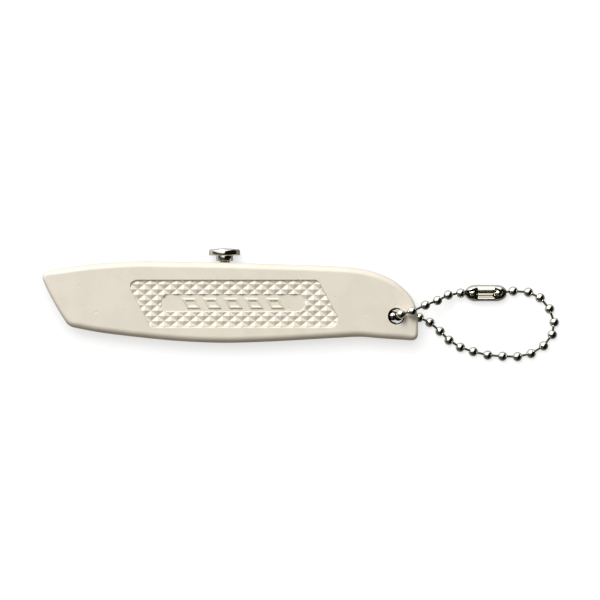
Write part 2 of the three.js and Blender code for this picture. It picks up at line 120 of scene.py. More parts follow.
# Chain hole in the tail, and the groove under it that the chain leaves by
HOLE = {"x": 42.33, "y": -5.25, "radius": 1.86, "throat": 1.62, "draft": 0.2, "flare": 0.16}
RELIEF = {"height": 2.75, "half_at_hole": 1.9, "edge_x": 49, "low_at_edge": 3.05, "high_at_edge": 2.55}

# Screw in the back
SCREW = {"x": 33.5, "y": -2.5, "arm": 1.3, "slit": 0.27}
SCREW_ROOM = {"head": 2.8, "shank": 1.6, "thread": 1.5}

# Dents and pits that the front face has picked up: x, y, length, width, angle
FACE_MARKS = [
    (-34.2, -4.25, 1.5, 0.42, 40),
    (-35.9, -4.0, 0.45, 0.3, 20),
    (-41.3, 2.3, 0.5, 0.36, 60),
    (-42.9, 3.5, 0.36, 0.3, 0),
    (-36.2, 0.4, 0.5, 0.24, 10),
    (-34.2, 1.7, 0.4, 0.26, -20),
    (-27.6, 5.6, 0.45, 0.3, 0),
    (-26.9, -3.5, 0.6, 0.24, 10),
    (-31.0, -5.6, 0.5, 0.24, 0),
    (37.5, -0.9, 0.5, 0.3, -50),
    (34.7, -4.9, 0.6, 0.32, 20),
    (26.8, 2.6, 0.36, 0.3, 0),
]

# Springs inside
LEAF = {"front": -3.4, "seat": 5.6, "rear": 8.8, "low": 2.25, "high": 6.15}
LEAF_HEIGHT = {"seat": 5.1, "raised": 5.38, "sheet": 0.38}
LEAF_BEND = 1.1
TOOTH = {"x": 3.8, "top": 6.85}
NOTCH = {"half": 1.25, "top": 7.15, "low": 2.05, "high": 6.35}
STEM_HOLE = 1.15
RIVET_X = 7.2
RIVET_HOLE = 0.7
COIL = {"wire": 0.18, "turns": 5, "closed": 0.6, "radius": 0.95}

# Chain
CONNECTOR = {"x": 65.3, "y": 0.66, "z": 2.1, "half_length": 5.25, "sheet": 0.28}
BEAD_RADIUS = 1.2
BEAD_MOUTH = 0.44
LINK_RADIUS = 0.27
LINK_SUNK = 0.35
# Bead centres from inside the connector, over the face, through the hole, under the tail and round.
CHAIN_ROUTE = [
    (62.05, 0.66, 2.03),
    (58.9, 0.65, 2.4),
    (55.7, 0.14, 4.3),
    (52.9, -1.24, 6.6),
    (49.8, -2.44, 8.6),
    (46.4, -3.97, 9.65),
    (43.5, -4.74, 9.35),
    (41.5, -5.14, 7.2),
    (42.95, -5.25, 3.9),
    (45.2, -5.4, 1.25),
    (48.3, -5.6, 1.22),
    (51.0, -6.85, 1.22),
    (53.6, -9.1, 1.22),
    (55.9, -11.4, 1.22),
    (58.8, -13.2, 1.22),
    (62.1, -14.3, 1.22),
    (65.8, -15.2, 1.22),
    (69.6, -15.5, 1.22),
    (73.4, -15.6, 1.22),
    (76.9, -14.8, 1.22),
    (80.1, -12.85, 1.22),
    (82.3, -9.94, 1.22),
    (82.8, -6.8, 1.22),
    (81.6, -3.36, 1.22),
    (79.2, -0.55, 1.22),
    (76.2, 0.88, 1.22),
    (72.3, 1.16, 1.5),
    (68.55, 0.66, 2.03),
]


# ---------------------------------------------------------------- camera

VIEW_CENTRE = Vector((17.82, -1.12, PARTING)) * MM
VIEW_WIDTH = 153.2 * MM


def make_camera():
    data = bpy.data.cameras.new("camera")
    data.lens = 500
    data.sensor_width = 36
    data.clip_start = 0.01
    camera = bpy.data.objects.new("camera", data)
    distance = VIEW_WIDTH * data.lens / data.sensor_width
    camera.location = VIEW_CENTRE + Vector((0, 0, distance))
    bpy.context.scene.collection.objects.link(camera)
    bpy.context.scene.camera = camera


make_camera()


# ---------------------------------------------------------------- node materials


class Shader:
    """A Principled material that is put together node by node."""

    def __init__(self, name, **values):
        self.material = bpy.data.materials.new(name)
        self.material.use_nodes = True
        self.tree = self.material.node_tree
        self.main = self.tree.nodes["Principled BSDF"]
        for socket, value in values.items():
            self.main.inputs[socket.replace("_", " ")].default_value = value
        self.place = self.node("ShaderNodeTexCoord").outputs["Object"]

    def node(self, kind, **settings):
        made = self.tree.nodes.new(kind)
        for key, value in settings.items():
            setattr(made, key, value)
        return made

    def link(self, source, target):
        self.tree.links.new(source, target)

    def noise(self, scale, detail=3.0, roughness=0.5, stretch=None):
        made = self.node("ShaderNodeTexNoise")
        made.inputs["Scale"].default_value = scale
        made.inputs["Detail"].default_value = detail
        made.inputs["Roughness"].default_value = roughness
        self.link(self.stretched(stretch), made.inputs["Vector"])
        return made.outputs["Fac"]

    def cells(self, scale):
        made = self.node("ShaderNodeTexVoronoi")
        made.inputs["Scale"].default_value = scale
        self.link(self.place, made.inputs["Vector"])
        return made.outputs["Distance"], made.outputs["Color"]

    def mark(self, x, y, length, width, turn):
        """A small oval spot on the front face, turned by an angle in degrees."""
        local = self.node("ShaderNodeMapping", vector_type="TEXTURE")
        local.inputs["Location"].default_value = (x * MM, y * MM, THICKNESS * MM)
        local.inputs["Rotation"].default_value = (0, 0, math.radians(turn))
        local.inputs["Scale"].default_value = (length / 2 * MM, width / 2 * MM, MM)
        self.link(self.place, local.inputs["Vector"])
        reach = self.node("ShaderNodeVectorMath", operation="LENGTH")
        self.link(local.outputs["Vector"], reach.inputs[0])
        return self.mapped(reach.outputs["Value"], 0.4, 1.0, 1.0, 0.0)

    def stretched(self, stretch):
        if stretch is None:
            return self.place
        mapping = self.node("ShaderNodeMapping")
        mapping.inputs["Scale"].default_value = stretch
        self.link(self.place, mapping.inputs["Vector"])
        return mapping.outputs["Vector"]

    def mapped(self, value, low, high, out_low=0.0, out_high=1.0):
        made = self.node("ShaderNodeMapRange", interpolation_type="SMOOTHSTEP")
        made.inputs["From Min"].default_value = low
        made.inputs["From Max"].default_value = high
        made.inputs["To Min"].default_value = out_low
        made.inputs["To Max"].default_value = out_high
        self.link(value, made.inputs["Value"])
        return made.outputs["Result"]

    def math(self, operation, a, b):
        made = self.node("ShaderNodeMath", operation=operation)
        for socket, value in zip(made.inputs, (a, b)):
            if isinstance(value, (int, float)):
                socket.default_value = value
            else:
                self.link(value, socket)
        return made.outputs["Value"]

    def mix(self, factor, a, b):
        made = self.node("ShaderNodeMix", data_type="RGBA")
        self.link(factor, made.inputs["Factor"])
        for socket, value in ((made.inputs["A"], a), (made.inputs["B"], b)):
            if isinstance(value, tuple):
                socket.default_value = value
            else:
                self.link(value, socket)
        return made.outputs["Result"]

    def bump(self, height, distance, strength=1.0, under=None):
        made = self.node("ShaderNodeBump")
        made.inputs["Distance"].default_value = distance
        made.inputs["Strength"].default_value = strength
        self.link(height, made.inputs["Height"])
        if under is not None:
            self.link(under, made.inputs["Normal"])
        return made.outputs["Normal"]

    def to(self, socket, value):
        self.link(value, self.main.inputs[socket])


def rgb(r, g, b):
    """A linear colour from 8-bit sRGB values."""
    steps = (c / 255 for c in (r, g, b))
    return (*((c / 12.92 if c <= 0.04045 else ((c + 0.055) / 1.055) ** 2.4) for c in steps), 1.0)


def cream_paint():
    """Cream enamel on die-cast zinc: faint mottling, orange peel, casting specks and a few dents."""
    s = Shader("cream_paint", Roughness=0.42, IOR=1.5)
    cloud = s.noise(180, 2)
    grain = s.noise(2600, 2)
    s.to("Base Color", s.mix(s.mapped(cloud, 0.35, 0.65), rgb(213, 205, 190), rgb(217, 209, 194)))
    s.to("Roughness", s.mapped(grain, 0.3, 0.7, 0.38, 0.46))
    distance, colour = s.cells(260)
    split = s.node("ShaderNodeSeparateColor")
    s.link(colour, split.inputs["Color"])
    rare = s.mapped(split.outputs["Red"], 0.86, 0.9)
    speck = s.math("MULTIPLY", s.mapped(distance, 0.0, 0.1, 1.0, 0.0), rare)
    for x, y, length, width, turn in FACE_MARKS:
        speck = s.math("MAXIMUM", speck, s.mark(x, y, length, width, turn))
    peel = s.bump(s.noise(1500, 2), 0.012 * MM)
    fine = s.bump(grain, 0.004 * MM, under=peel)
    s.to("Normal", s.bump(speck, -0.05 * MM, under=fine))
    return s.material


def hole_painted_shade():
    """The chain hole's wall: painted shade, near-black and without reflections, standing in for the shadow
    deep in the hole.
    """
    s = Shader("hole_painted_shade", Roughness=0.85)
    s.main.inputs["Specular IOR Level"].default_value = 0.0
    shade_variation = s.noise(700, 3)
    # Painted shade: the near-black colour is the hole's shadow; the noise only varies it.
    s.to("Base Color", s.mix(s.mapped(shade_variation, 0.3, 0.7), rgb(12, 11, 9), rgb(40, 37, 31)))
    s.to("Normal", s.bump(shade_variation, 0.02 * MM))
    return s.material


def link_painted_shade():
    """The chain's links: drawn wire, coloured dark as painted shade for the shadowed gaps between the
    polished beads.
    """
    s = Shader("link_painted_shade", Metallic=0.8)
    drawn = s.noise(1200, 3)
    # Painted shade: the dark colour stands for the shadow between the beads; the noise only varies it.
    s.to("Base Color", s.mix(s.mapped(drawn, 0.3, 0.7), rgb(48, 46, 41), rgb(84, 81, 73)))
    s.to("Roughness", s.mapped(drawn, 0.3, 0.7, 0.3, 0.5))
    s.to("Normal", s.bump(drawn, 0.004 * MM))
    return s.material


def bright_nickel():
    """Nickel plate over turned or rolled metal, with faint haze and a fine ripple."""
    s = Shader("bright_nickel", Metallic=1.0)
    haze = s.noise(900, 3)
    s.to("Base Color", s.mix(s.mapped(haze, 0.3, 0.7), rgb(231, 229, 217), rgb(221, 219, 207)))
    s.to("Roughness", s.mapped(haze, 0.3, 0.7, 0.03, 0.07))
    s.to("Normal", s.bump(s.noise(3000, 2), 0.0015 * MM))
    return s.material


def cup_painted_shade():
    """Painted shade for the inside of the connector's cups: dark, rough nickel standing in for the shadow in
    their hollows.
    """
    s = Shader("cup_painted_shade", Metallic=0.9)
    stain = s.noise(1100, 3)
    # Painted shade: the dark colour is the shadow inside the cups; the noise only varies it.
    s.to("Base Color", s.mix(s.mapped(stain, 0.3, 0.7), rgb(58, 56, 51), rgb(92, 89, 81)))
    s.to("Roughness", s.mapped(stain, 0.3, 0.7, 0.4, 0.6))
    s.to("Normal", s.bump(stain, 0.005 * MM))
    return s.material


def blade_steel():
    """Ground carbon steel with fine grinding lines across the blade."""
    s = Shader("blade_steel", Metallic=1.0)
    lines = s.noise(60, 3, stretch=(60, 2, 2))
    s.to("Base Color", s.mix(s.mapped(lines, 0.35, 0.65), rgb(112, 115, 120), rgb(140, 142, 146)))
    s.to("Roughness", s.mapped(lines, 0.3, 0.7, 0.2, 0.36))
    s.to("Normal", s.bump(lines, 0.003 * MM))
    return s.material


def spring_steel():
    """Dark, lightly stained spring steel."""
    s = Shader("spring_steel", Metallic=1.0)
    stain = s.noise(500, 3)
    s.to("Base Color", s.mix(s.mapped(stain, 0.35, 0.65), rgb(98, 101, 106), rgb(124, 126, 130)))
    s.to("Roughness", s.mapped(stain, 0.3, 0.7, 0.26, 0.4))
    s.to("Normal", s.bump(stain, 0.003 * MM))
    return s.material


def bare_zinc():
    """Unpainted casting: matt grey with a frosted grain."""
    s = Shader("bare_zinc", Metallic=0.9)
    grain = s.noise(1600, 4)
    s.to("Base Color", s.mix(s.mapped(grain, 0.3, 0.7), rgb(128, 130, 133), rgb(158, 160, 162)))
    s.to("Roughness", s.mapped(grain, 0.3, 0.7, 0.42, 0.6))
    s.to("Normal", s.bump(grain, 0.012 * MM))
    return s.material


PAINT = cream_paint()
HOLE_SHADE = hole_painted_shade()
LINK_SHADE = link_painted_shade()
CUP_SHADE = cup_painted_shade()
NICKEL = bright_nickel()
BLADE_STEEL = blade_steel()
SPRING_STEEL = spring_steel()
BARE_ZINC = bare_zinc()


# ---------------------------------------------------------------- mesh helpers


def make_object(name, verts, faces, material=None):
    """A new object from vertices in millimetres."""
    mesh = bpy.data.meshes.new(name)
    mesh.from_pydata([(x * MM, y * MM, z * MM) for x, y, z in verts], [], faces)
    mesh.update()
    if material:
        mesh.materials.append(material)
    made = bpy.data.objects.new(name, mesh)
    bpy.context.scene.collection.objects.link(made)
    return made


def apply_modifiers(piece):
    depsgraph = bpy.context.evaluated_depsgraph_get()
    mesh = bpy.data.meshes.new_from_object(piece.evaluated_get(depsgraph))
    piece.modifiers.clear()
    old = piece.data
    piece.data = mesh
    bpy.data.meshes.remove(old)


def cut(piece, cutters):
    """Takes the cutters away from the piece, one after the other, and deletes them."""
    material = piece.data.materials[0]
    for cutter in cutters:
        boolean = piece.modifiers.new("cut", "BOOLEAN")
        boolean.operation = "DIFFERENCE"
        boolean.solver = "MANIFOLD"
        boolean.object = cutter
        apply_modifiers(piece)
        bpy.data.objects.remove(cutter)
    piece.data.materials.clear()
    piece.data.materials.append(material)
    piece.data.polygons.foreach_set("material_index", [0] * len(piece.data.polygons))


def smooth(piece, sharp_degrees=50):
    mesh = piece.data
    mesh.polygons.foreach_set("use_smooth", [True] * len(mesh.polygons))
    mesh.set_sharp_from_angle(angle=math.radians(sharp_degrees))


def values_of(items, name, width, kind):
    """One property of every item of a mesh collection, as rows of an array."""
    found = np.empty(len(items) * width, kind)
    items.foreach_get(name, found)
    return found.reshape(-1, width)


def flatten_faces(shell):
    """Gives every corner on the flat front and back the flat's own normal, so that they shade as flat."""
    upright, on_plane = 0.7, 2e-3
    mesh = shell.data
    normals = values_of(mesh.corner_normals, "vector", 3, np.float32)
    corners_each = values_of(mesh.polygons, "loop_total", 1, np.int32).ravel()
    facing = np.repeat(values_of(mesh.polygons, "normal", 3, np.float32)[:, 2], corners_each)
    vertex = values_of(mesh.loops, "vertex_index", 1, np.int32).ravel()
    height = values_of(mesh.vertices, "co", 3, np.float32)[vertex, 2] / MM
    on_flat = (np.abs(facing) > upright) & (np.minimum(height, THICKNESS - height) < on_plane)
    normals[on_flat] = 0
    normals[on_flat, 2] = np.sign(facing[on_flat])
    mesh.normals_split_custom_set(normals.tolist())


def add_piece(piece, body, slot, *replaced):
    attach(piece, body)
    if replaced:
        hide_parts(*replaced)


def block(x0, x1, y0, y1, z0, z1):
    verts = [(x, y, z) for z in (z0, z1) for y in (y0, y1) for x in (x0, x1)]
    faces = [(0, 2, 3, 1), (4, 5, 7, 6), (0, 1, 5, 4), (2, 6, 7, 3), (0, 4, 6, 2), (1, 3, 7, 5)]
    return make_object("cutter", verts, faces)


def prism(outline, z0, z1):
    """A flat outline, counter-clockwise, given thickness from z0 to z1."""
    count = len(outline)
    verts = [(x, y, z) for z in (z0, z1) for x, y in outline]
    faces = [tuple(reversed(range(count))), tuple(range(count, 2 * count))]
    for i in range(count):
        j = (i + 1) % count
        faces.append((i, j, j + count, i + count))
    return make_object("cutter", verts, faces)


def turned(name, profile, place, sides=96, material=None):
    """A solid of revolution from (radius, height) pairs, bottom to top, axis ends at radius 0.

    place(radial x, radial y, height) gives the position in millimetres.
    """
    verts = []
    rings = []
    for radius, height in profile:
        if radius == 0:
            rings.append([len(verts)])
            verts.append(place(0, 0, height))
            continue
        rings.append(list(range(len(verts), len(verts) + sides)))
        for i in range(sides):
            angle = 2 * math.pi * i / sides
            verts.append(place(radius * math.cos(angle), radius * math.sin(angle), height))
    faces = []
    for low, high in zip(rings, rings[1:]):
        for i in range(sides):
            j = (i + 1) % sides
            loop = [low[i % len(low)], low[j % len(low)], high[j % len(high)], high[i % len(high)]]
            faces.append(tuple(dict.fromkeys(loop)))
    return make_object(name, verts, faces, material)


def along_z(x, y):
    return lambda u, v, h: (x + u, y + v, h)


def along_y(x, z):
    return lambda u, v, h: (x + v, h, z + u)


def arc(cx, cy, radius, start, end, steps):
    """Points of an arc, angles in degrees."""
    angles = np.radians(np.linspace(start, end, steps + 1))
    return [(cx + radius * math.cos(a), cy + radius * math.sin(a)) for a in angles]


# ---------------------------------------------------------------- outlines


def corner(start, control, end, steps):
    """A quadratic Bezier stretch."""
    t = np.linspace(0, 1, steps + 1)[:, None]
    start, control, end = map(np.array, (start, control, end))
    return list((1 - t) ** 2 * start + 2 * t * (1 - t) * control + t**2 * end)


def stretch(points, steps):
    """A Catmull-Rom stretch through the points."""
    points = np.array(points, float)
    out = []
    for t in np.linspace(0, len(points) - 1, steps + 1):
        i = min(int(t), len(points) - 2)
        w = t - i
        p0, p1 = points[max(i - 1, 0)], points[i]
        p2, p3 = points[i + 1], points[min(i + 2, len(points) - 1)]
        a, b = (p2 - p0) / 2, (p3 - p1) / 2
        out.append((2 * (p1 - p2) + a + b) * w**3 + (3 * (p2 - p1) - 2 * a - b) * w**2 + a * w + p1)
    return out


def evenly(points, step):
    """The closed outline again with points about a step apart."""
    points = np.array(points)
    closed = np.vstack([points, points[:1]])
    lengths = np.linalg.norm(np.diff(closed, axis=0), axis=1)
    at = np.concatenate([[0], np.cumsum(lengths)])
    count = round(at[-1] / step)
    wanted = np.arange(count) * at[-1] / count
    return np.stack([np.interp(wanted, at, closed[:, k]) for k in (0, 1)], axis=1)


def body_outline():
    nose = corner((-47.35, 3.2), (-45.15, -1.75), (-41.95, -6.6), 12)
    nose_heel = corner((-41.95, -6.6), (-41.2, -7.95), (-39.4, -8.2), 10)
    belly = stretch(
        [
            (-39.4, -8.2),
            (-33.1, -9.4),
            (-22.9, -10.65),
            (-12.7, -11.6),
            (-1.5, -12.04),
            (10.3, -11.7),
            (20.5, -11.15),
            (27.5, -10.75),
            (33, -10.5),
            (38.4, -10.9),
            (46, -11.4),
        ],
        100,
    )
    tail_heel = corner((46, -11.4), (HALF_LENGTH, -11.5), (HALF_LENGTH, -9.8), 10)
    back = stretch(
        [
            (HALF_LENGTH, -5.6),
            (47.3, -2.9),
            (46.3, -0.6),
            (44.3, 1.7),
            (41.2, 4.1),
            (36.5, 6.1),
            (30.7, 7.2),
            (20.5, 7.75),
            (10.3, 8.05),
            (0, 8.4),
            (-12, 8.6),
            (-22.9, 8.75),
            (-30, 8.45),
            (-36, 7.95),
            (-42, 7.15),
            (-45.9, 6.5),
        ],
        140,
    )
    nose_tip = corner((-45.9, 6.5), (-47.9, 6.1), (-HALF_LENGTH, 4.7), 10)
    tip_to_nose = corner((-HALF_LENGTH, 4.7), (-47.75, 4), (-47.35, 3.2), 4)
    return evenly(nose + nose_heel + belly + tail_heel + back + nose_tip + tip_to_nose, OUTLINE_STEP)


def pocket_outline():
    top_left = corner((-25.25, 1.2), (-26.1, POCKET_TOP), (-23.2, POCKET_TOP), 12)
    top_right = corner((21.6, POCKET_TOP), (22.35, POCKET_TOP), (22.85, 3.1), 8)
    bottom_right = corner((27.5, -5.4), (27.5, POCKET_BOTTOM), (25.2, POCKET_BOTTOM), 12)
    bottom_left = corner((-19.5, POCKET_BOTTOM), (-20.2, POCKET_BOTTOM), (-20.55, -7.5), 8)
    return np.array(top_left + top_right + bottom_right + bottom_left)


def panel_outline():
    left, right, top, bottom, c = (PANEL[k] for k in ("left", "right", "top", "bottom", "chamfer"))
    return np.array(
        [
            (left, bottom + c),
            (left + c, bottom),
            (right - c, bottom),
            (right, bottom + c),
            (right, top - c),
            (right - c, top),
            (left + c, top),
            (left, top - c),
        ]
    )


def inside_distance(points, outline):
    """Distance from each point to the closed outline, positive inside it."""
    a = outline
    b = np.roll(outline, -1, axis=0)
    nearest = np.full(len(points), np.inf)
    inside = np.zeros(len(points), bool)
    for (ax, ay), (bx, by) in zip(a, b):
        ex, ey = bx - ax, by - ay
        px, py = points[:, 0] - ax, points[:, 1] - ay
        t = np.clip((px * ex + py * ey) / max(ex * ex + ey * ey, 1e-12), 0, 1)
        nearest = np.minimum(nearest, np.hypot(px - t * ex, py - t * ey))
        crosses = (ay > points[:, 1]) != (by > points[:, 1])
        if ey:
            inside ^= crosses & (px < py * ex / ey)
    return np.where(inside, nearest, -nearest)


def offset_inwards(outline, normals, depths):
    """The outline moved inwards by a depth for each point, kept clear of itself at tight corners."""
    moved = outline - normals * depths[:, None]
    for _ in range(12):
        step = 1e-3
        here = inside_distance(moved, outline)
        grad_x = inside_distance(moved + (step, 0), outline) - here
        grad_y = inside_distance(moved + (0, step), outline) - here
        grad = np.stack([grad_x, grad_y], axis=1)
        grad /= np.maximum(np.linalg.norm(grad, axis=1), 1e-9)[:, None]
        moved += grad * np.clip(depths - here, 0, None)[:, None] * 0.7
    return moved


# ---------------------------------------------------------------- shells


def soft_max(a, b, width):
    h = np.clip(0.5 + 0.5 * (a - b) / width, 0, 1)
    return b + (a - b) * h + width * h * (1 - h)


def soft_min(a, b, width):
    return -soft_max(-a, -b, width)


def knurl_height(points):
    """Height above the valleys of soft-edged pyramids in staggered rows."""
    dx = (points[:, 0] - KNURL["x"]) / KNURL["pitch"]
    dy = (points[:, 1] - KNURL["y"]) / (2 * KNURL["row"])
    u, v = dx + dy, dx - dy
    fu, fv = np.abs(u - np.round(u)), np.abs(v - np.round(v))
    ridge, blunt_peak, softness = 0.035, 0.93, 0.1
    rise = 1 - 2 * soft_max(fu, fv, ridge)
    return KNURL["height"] * soft_max(soft_min(rise, blunt_peak, softness), 0, softness)


def motif_height(points):
    """Five plain raised frames that lean with the pocket."""
    middle_y = (PANEL["top"] + PANEL["bottom"]) / 2
    y = points[:, 1] - middle_y + 0.1
    x = points[:, 0] + y * PATCH["lean"] - MOTIF["x"]
    raised = np.full(len(points), -1.0)
    for i in range(-2, 3):
        across = np.abs(x - MOTIF["pitch"] * i) - MOTIF["half_width"]
        up = np.abs(y) - MOTIF["half_height"]
        edge = np.abs(np.maximum(across, up) + MOTIF["stroke"] / 2)
        raised = np.maximum(raised, MOTIF["stroke"] / 2 - edge)
    return MOTIF["rise"] * np.clip((raised + 0.06) / 0.2, 0, 1)


def pocket_depths(points, with_motif):
    """How far below the face the pocket's surface lies at each point."""
    in_pocket = inside_distance(points, pocket_outline())
    in_panel = inside_distance(points, panel_outline())
    valley = KNURL["below"] + KNURL["height"]
    grip = valley - knurl_height(points)
    panel_wall = POCKET_DEPTH - np.clip(-in_panel, 0, None) * WALL_SLOPE
    floor = soft_max(grip, panel_wall, 0.05)
    floor = np.where(in_panel > 0, POCKET_DEPTH, floor)
    if with_motif:
        floor = floor - np.where(in_panel > 0, motif_height(points), 0)
    wall = np.clip(in_pocket + 0.06, -1, None) * WALL_SLOPE
    return np.clip(soft_min(floor, wall, 0.08), 0, None)


def pocket_patch():
    """Grid points over the pocket, skewed so that its columns follow the pocket's slanted ends."""
    p = PATCH
    middle_y = (POCKET_TOP + POCKET_BOTTOM) / 2
    columns = round((p["right"] - p["left"]) / p["cell"])
    rows = round((p["top"] - p["bottom"]) / p["cell"])
    across = np.linspace(p["left"], p["right"], columns + 1)
    up = np.linspace(p["bottom"], p["top"], rows + 1)
    x, y = np.meshgrid(across, up)
    points = np.stack([(x - (y - middle_y) * p["lean"]).ravel(), y.ravel()], axis=1)
    return points, rows + 1, columns + 1


def edge_radii(normals):
    """Rounding along the outline: wide on the long edges, tight on the nose and the tail."""
    along = np.where(normals[:, 1] > 0, EDGE_RADIUS["top"], EDGE_RADIUS["bottom"])
    end = np.where(normals[:, 0] > 0, EDGE_RADIUS["tail"], EDGE_RADIUS["nose"])
    radii = along + (end - along) * normals[:, 0] ** 2
    for _ in range(6):
        radii = (np.roll(radii, 1) + radii + np.roll(radii, -1)) / 3
    return radii


def half_body(name, outward, with_motif):
    """A closed half of the body, from the parting plane to one face, not yet hollowed."""
    outline = body_outline()
    count = len(outline)
    tangents = np.roll(outline, -1, axis=0) - np.roll(outline, 1, axis=0)
    tangents /= np.linalg.norm(tangents, axis=1)[:, None]
    normals = np.stack([tangents[:, 1], -tangents[:, 0]], axis=1)
    radii = edge_radii(normals)
    half = PARTING - SEAM

    rings = []
    for inset, height in ((SEAM_CHAMFER, 0), (0.03, SEAM_CHAMFER * 0.7), (0, SEAM_CHAMFER * 1.3)):
        rings.append((outline - normals * inset, np.full(count, float(height))))
    for step in range(ARC_STEPS + 1):
        angle = math.pi / 2 * step / ARC_STEPS
        inset = radii * (1 - math.cos(angle))
        rings.append((offset_inwards(outline, normals, inset), half - radii * (1 - math.sin(angle))))

    patch, rows, columns = pocket_patch()
    depths = pocket_depths(patch, with_motif)
    edge = (
        [i for i in range(columns)]
        + [(r + 1) * columns - 1 for r in range(1, rows)]
        + [(rows - 1) * columns + i for i in range(columns - 2, -1, -1)]
        + [r * columns for r in range(rows - 2, 0, -1)]
    )
    depths[edge] = 0

    flat = [xy for ring, _ in rings for xy in ring] + list(patch)
    heights = np.concatenate([z for _, z in rings] + [half - depths])
    verts = [
        (x, y, PARTING + outward * (SEAM + z)) for (x, y), z in zip(flat, heights)
    ]

    faces = [tuple(reversed(range(count)))]
    for k in range(len(rings) - 1):
        for i in range(count):
            j = (i + 1) % count
            faces.append((k * count + i, k * count + j, (k + 1) * count + j, (k + 1) * count + i))
    rim = [(len(rings) - 1) * count + i for i in range(count)]
    first = len(rings) * count
    for r in range(rows - 1):
        for c in range(columns - 1):
            i = first + r * columns + c
            faces.append((i, i + 1, i + columns + 1, i + columns))
    faces += face_between(flat, rim, [first + i for i in edge])
    if outward < 0:
        faces = [tuple(reversed(face)) for face in faces]
    return make_object(name, verts, faces, PAINT)


def face_between(flat, outer, inner):
    """Triangles of the flat face between an outer loop and a loop inside it."""
    used = outer + inner
    points = [Vector((float(flat[i][0]), float(flat[i][1]))) for i in used]
    edges = []
    for start, loop in ((0, outer), (len(outer), inner)):
        edges += [(start + i, start + (i + 1) % len(loop)) for i in range(len(loop))]
    found = delaunay_2d_cdt(points, edges, [], 0, 1e-9)
    places, triangles, origins = found[0], found[2], found[3]
    centres = np.array([np.mean([tuple(places[v]) for v in t], axis=0) for t in triangles])
    outer_line = np.array([flat[i] for i in outer])
    inner_line = np.array([flat[i] for i in inner])
    keep = (inside_distance(centres, outer_line) > 0) & (inside_distance(centres, inner_line) < 0)
    return [tuple(used[origins[v][0]] for v in t) for t, k in zip(triangles, keep) if k]


def channel_cutter(z0, z1):
    outline = [
        (14, CHANNEL_BOTTOM),
        (14, CHANNEL_TOP),
        (-38, CHANNEL_TOP),
        (-44, 4.9),
        (-40.2, CHANNEL_BOTTOM),
    ]
    return prism(outline, z0, z1)


def slot_cutter(radius, y0, y1):
    """Room for one step of the button over the whole travel of the blade."""
    reach = radius + RUNNING_GAP
    front = BUTTON_X - BLADE_TRAVEL - reach
    return block(front, BUTTON_X + reach, y0, y1, PARTING - reach, PARTING + reach)


def hole_cutter():
    """The chain hole: a narrow throat near the back, widening to rounded rims."""
    radius, throat, flare = HOLE["radius"], HOLE["throat"], HOLE["flare"]
    wide = radius + HOLE["draft"] + flare
    low_rim = arc(wide, flare, flare, 270, 180, 5)
    high_rim = arc(wide, THICKNESS - flare, flare, 180, 90, 5)
    waist = [(throat, 0.9), (throat, 2.5), (radius, 2.6), (radius, PARTING)]
    top = THICKNESS + PAST
    profile = [(0, -PAST), (wide, -PAST)] + low_rim + waist + high_rim + [(wide, top), (0, top)]
    return turned("cutter", profile, along_z(HOLE["x"], HOLE["y"]))


def paint_hole_shade(shell):
    """Gives the wall of the chain hole painted shade: the near-black material that stands in for its shadow.
    """
    # Painted shade on the hole's wall, for the shadow inside it.
    shell.data.materials.append(HOLE_SHADE)
    reach = HOLE["radius"] + HOLE["draft"] + HOLE["flare"] * 0.8
    skin = 0.03
    for face in shell.data.polygons:
        x, y, z = face.center / MM
        inside = skin < z < THICKNESS - skin
        face.material_index = int(inside and math.hypot(x - HOLE["x"], y - HOLE["y"]) < reach)


def round_cutter(place, radius, start, end):
    """A plain cylinder for cutting a round hole."""
    return turned("cutter", [(0, start), (radius, start), (radius, end), (0, end)], place, 48)


def shared_cutters():
    """What both shells lose: blade slit, button slot, rear hollow, chain hole and lock notches."""
    notch = NOTCH
    slit = [BLADE_SLIT[k] for k in ("front", "rear", "bottom", "top", "low", "high")]
    hollow = [REAR_HOLLOW[k] for k in ("front", "rear", "bottom", "top")]
    cutters = [
        block(*slit),
        slot_cutter(NECK_RADIUS, CHANNEL_TOP - PAST, NECK_SLOT_TOP),
        slot_cutter(COLLAR_RADIUS, COLLAR_SLOT_FLOOR, HEAD_BOTTOM),
        block(*hollow, CHANNEL_FLOOR, TRENCH["ceiling"]),
        hole_cutter(),
    ]
    for stop in (0, BLADE_TRAVEL / 2, BLADE_TRAVEL):
        middle = TOOTH["x"] - stop
        front, rear = middle - notch["half"], middle + notch["half"]
        cutters.append(block(front, rear, CHANNEL_TOP - 0.5, notch["top"], notch["low"], notch["high"]))
    return cutters


def front_shell():
    shell = half_body("front_shell_casting", 1, True)
    screw_axis = along_z(SCREW["x"], SCREW["y"])
    front, rear, bottom, ceiling = (TRENCH[k] for k in ("front", "rear", "bottom", "ceiling"))
    cut(
        shell,
        [
            channel_cutter(PARTING - PAST, CHANNEL_CEILING),
            block(front, rear, bottom, CHANNEL_TOP, PARTING - PAST, ceiling),
            round_cutter(screw_axis, SCREW_ROOM["thread"], PARTING - PAST, 6.9),
        ]
        + shared_cutters(),
    )
    paint_hole_shade(shell)
    smooth(shell)
    flatten_faces(shell)
    add_piece(shell, "knife_body", "body_paint", "front_shell")


def relief_cutter():
    """The groove under the tail that widens from the hole to the edge."""
    outline = [
        (HOLE["x"], HOLE["y"] - RELIEF["half_at_hole"]),
        (RELIEF["edge_x"], HOLE["y"] - RELIEF["low_at_edge"]),
        (RELIEF["edge_x"], HOLE["y"] + RELIEF["high_at_edge"]),
        (HOLE["x"], HOLE["y"] + RELIEF["half_at_hole"]),
    ]
    return prism(outline, -PAST, RELIEF["height"])


